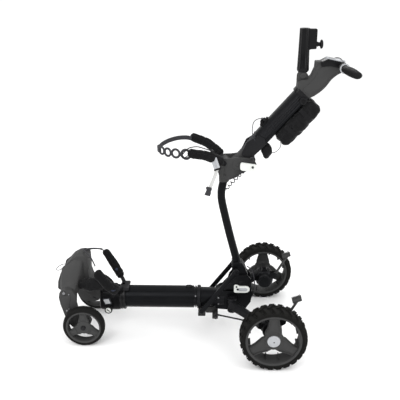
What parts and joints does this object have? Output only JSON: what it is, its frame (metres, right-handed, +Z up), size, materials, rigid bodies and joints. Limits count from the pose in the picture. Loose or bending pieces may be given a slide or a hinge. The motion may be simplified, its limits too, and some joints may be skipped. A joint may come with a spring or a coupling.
{
  "type": "golf trolley",
  "caption": "Four-wheel folding golf trolley with a battery tube, padded bag cradles, console handle, pouch and umbrella holder.",
  "frame": {"origin": "on the ground, under the middle of the trolley's length and width", "axes": "+X towards the rear, where the handle and the driven wheels are; +Y to the right of a person who pushes it; +Z up"},
  "size_m": [1.257, 0.691, 1.353],
  "materials": {
    "frame_black": "satin black powder coat",
    "alloy_black": "black anodised aluminium",
    "moulded_black": "fine-grained black nylon",
    "gloss_black": "smooth black plastic",
    "tyre_rubber": "black tread rubber",
    "soft_rubber": "soft black rubber",
    "pad_fabric": "black padded cloth",
    "pouch_fabric": "black woven nylon",
    "white_plastic": "white glossy plastic",
    "grey_plastic": "light grey satin plastic",
    "steel": "dark zinc plate",
    "webbing": "grey woven webbing",
    "screen_glass": "tinted display window",
    "battery_case": "dark grey battery case"
  },
  "bodies": {
    "frame": {"main_tube": "alloy_black", "tube_front_collar": "gloss_black", "battery_pack": "battery_case", "rear_bracket": "alloy_black", "front_knuckle": "gloss_black", "front_fork": "moulded_black", "front_axles": "steel", "lower_cradle": "frame_black", "lower_pad_left": "pad_fabric", "lower_pad_right": "pad_fabric", "lower_bungee": "soft_rubber", "tracking_plate": "grey_plastic", "frame_screws": "steel", "motor_cable": "soft_rubber"},
    "power_button": {"power_button": "gloss_black"},
    "tracking_knob": {"tracking_knob": "gloss_black"},
    "front_wheel_left": {"front_tyre_left": "tyre_rubber", "front_rim_left": "moulded_black"},
    "front_wheel_right": {"front_tyre_right": "tyre_rubber", "front_rim_right": "moulded_black"},
    "post": {"post_tube": "alloy_black", "post_head": "moulded_black", "upper_arm_left": "frame_black", "upper_arm_right": "frame_black", "upper_pad_left": "pad_fabric", "upper_pad_right": "pad_fabric", "bag_strap": "soft_rubber", "strap_hook": "steel", "strap_buckle": "grey_plastic", "strap_webbing": "webbing", "coil_cable": "soft_rubber"},
    "post_lever": {"post_lever": "white_plastic"},
    "braces": {"brace_links": "alloy_black"},
    "shoe": {"brace_shoe": "moulded_black"},
    "yoke": {"arm_yoke": "moulded_black"},
    "tie_rod_left": {"tie_rod_left": "steel"},
    "tie_rod_right": {"tie_rod_right": "steel"},
    "arm_left": {"rear_arm_left": "alloy_black", "motor_housing_left": "alloy_black"},
    "arm_right": {"rear_arm_right": "alloy_black", "motor_housing_right": "alloy_black"},
    "rear_wheel_left": {"rear_tyre_left": "tyre_rubber", "rear_rim_left": "moulded_black"},
    "rear_wheel_right": {"rear_tyre_right": "tyre_rubber", "rear_rim_right": "moulded_black"},
    "cap_left": {"wheel_cap_left": "grey_plastic"},
    "cap_right": {"wheel_cap_right": "grey_plastic"},
    "pedal_left": {"brake_pedal_left": "moulded_black"},
    "pedal_right": {"brake_pedal_right": "moulded_black"},
    "handle": {"shaft_boot": "soft_rubber", "shaft_profile": "alloy_black", "handle_neck": "moulded_black", "console_screen": "screen_glass", "grip_left": "soft_rubber", "grip_right": "soft_rubber", "pouch": "pouch_fabric"},
    "handle_lever": {"handle_lever": "white_plastic"},
    "speed_button": {"speed_button": "grey_plastic"},
    "umbrella_socket": {"umbrella_socket": "gloss_black"},
    "umbrella_screw": {"umbrella_screw": "gloss_black"}
  },
  "joints": [
    {"name": "post_fold", "type": "hinge", "parent": "frame", "child": "post", "pos_m": [0.2045, 0, 0.245], "axis": [0, -1, 0], "range_deg": [0, 57], "deforming": ["bag_strap"]},
    {"name": "brace_swing", "type": "hinge", "parent": "post", "child": "braces", "pos_m": [0.1765, 0, 0.312], "axis": [0, -1, 0], "range_deg": [-74.53, 0]},
    {"name": "shoe_slide", "type": "slide", "parent": "frame", "child": "shoe", "axis": [-1, 0, 0], "range_m": [0, 0.0969]},
    {"name": "arm_swing_right", "type": "hinge", "parent": "frame", "child": "arm_right", "pos_m": [0.1615, 0.06, 0], "axis": [0, 0, -1], "range_deg": [0, 30]},
    {"name": "arm_swing_left", "type": "hinge", "parent": "frame", "child": "arm_left", "pos_m": [0.1615, -0.06, 0], "axis": [0, 0, 1], "range_deg": [0, 30.01]},
    {"name": "yoke_slide", "type": "slide", "parent": "frame", "child": "yoke", "axis": [1, 0, 0], "range_m": [0, 0.0216]},
    {"name": "tie_rod_swing_right", "type": "hinge", "parent": "yoke", "child": "tie_rod_right", "pos_m": [0.0885, 0.058, 0.084], "axis": [0, 0, -1], "range_deg": [0, 17.82]},
    {"name": "tie_rod_swing_left", "type": "hinge", "parent": "yoke", "child": "tie_rod_left", "pos_m": [0.0885, -0.058, 0.084], "axis": [0, 0, 1], "range_deg": [0, 17.82]},
    {"name": "rear_wheel_spin_left", "type": "hinge", "parent": "arm_left", "child": "rear_wheel_left", "pos_m": [0.3265, 0, 0.14], "axis": [0, 1, 0], "continuous": true},
    {"name": "rear_wheel_spin_right", "type": "hinge", "parent": "arm_right", "child": "rear_wheel_right", "pos_m": [0.3265, 0, 0.14], "axis": [0, 1, 0], "continuous": true},
    {"name": "front_wheel_spin_left", "type": "hinge", "parent": "frame", "child": "front_wheel_left", "pos_m": [-0.4935, 0, 0.0925], "axis": [0, 1, 0], "continuous": true},
    {"name": "front_wheel_spin_right", "type": "hinge", "parent": "frame", "child": "front_wheel_right", "pos_m": [-0.4935, 0, 0.0925], "axis": [0, 1, 0], "continuous": true},
    {"name": "wheel_cap_push_left", "type": "slide", "parent": "rear_wheel_left", "child": "cap_left", "axis": [0, 1, 0], "range_m": [0, 0.003], "stiffness_N_per_m": 600},
    {"name": "wheel_cap_push_right", "type": "slide", "parent": "rear_wheel_right", "child": "cap_right", "axis": [0, -1, 0], "range_m": [0, 0.003], "stiffness_N_per_m": 600},
    {"name": "brake_pedal_press_left", "type": "hinge", "parent": "arm_left", "child": "pedal_left", "pos_m": [0.3805, 0, 0.166], "axis": [0, 1, 0], "range_deg": [0, 14]},
    {"name": "brake_pedal_press_right", "type": "hinge", "parent": "arm_right", "child": "pedal_right", "pos_m": [0.3805, 0, 0.166], "axis": [0, 1, 0], "range_deg": [0, 14]},
    {"name": "post_lever_pull", "type": "hinge", "parent": "frame", "child": "post_lever", "pos_m": [0.1865, 0, 0.219], "axis": [0, -1, 0], "range_deg": [0, 40]},
    {"name": "handle_fold", "type": "hinge", "parent": "post", "child": "handle", "pos_m": [0.1745, 0, 0.801], "axis": [0, 1, 0], "range_deg": [0, 95]},
    {"name": "handle_lever_pull", "type": "hinge", "parent": "post", "child": "handle_lever", "pos_m": [0.2365, 0, 0.801], "axis": [0, -1, 0], "range_deg": [0, 40]},
    {"name": "umbrella_tilt", "type": "hinge", "parent": "handle", "child": "umbrella_socket", "pos_m": [0.4305, 0, 1.17], "axis": [0, 1, 0], "range_deg": [-15, 15]},
    {"name": "umbrella_screw_turn", "type": "hinge", "parent": "umbrella_socket", "child": "umbrella_screw", "pos_m": [0.4305, 0, 1.291], "axis": [1, 0, 0], "range_deg": [0, 350]},
    {"name": "tracking_knob_turn", "type": "hinge", "parent": "frame", "child": "tracking_knob", "pos_m": [-0.4005, 0, 0.115], "axis": [0, -1, 0], "range_deg": [-90, 90]},
    {"name": "power_button_press", "type": "slide", "parent": "frame", "child": "power_button", "axis": [0, 0, -1], "range_m": [0, 0.002], "stiffness_N_per_m": 500},
    {"name": "speed_button_press", "type": "slide", "parent": "handle", "child": "speed_button", "axis": [-0.3156, 0, -0.9489], "range_m": [0, 0.002], "stiffness_N_per_m": 500}
  ],
  "couplings": [
    {"joint": "brace_swing", "follows": "post_fold", "ratio": -1.3022},
    {"joint": "shoe_slide", "follows": "post_fold", "m_per_rad": 0.096354},
    {"joint": "arm_swing_left", "follows": "arm_swing_right", "ratio": 1},
    {"joint": "yoke_slide", "follows": "arm_swing_right", "m_per_rad": 0.040204},
    {"joint": "tie_rod_swing_right", "follows": "arm_swing_right", "ratio": 0.59071},
    {"joint": "tie_rod_swing_left", "follows": "arm_swing_right", "ratio": 0.59071}
  ]
}
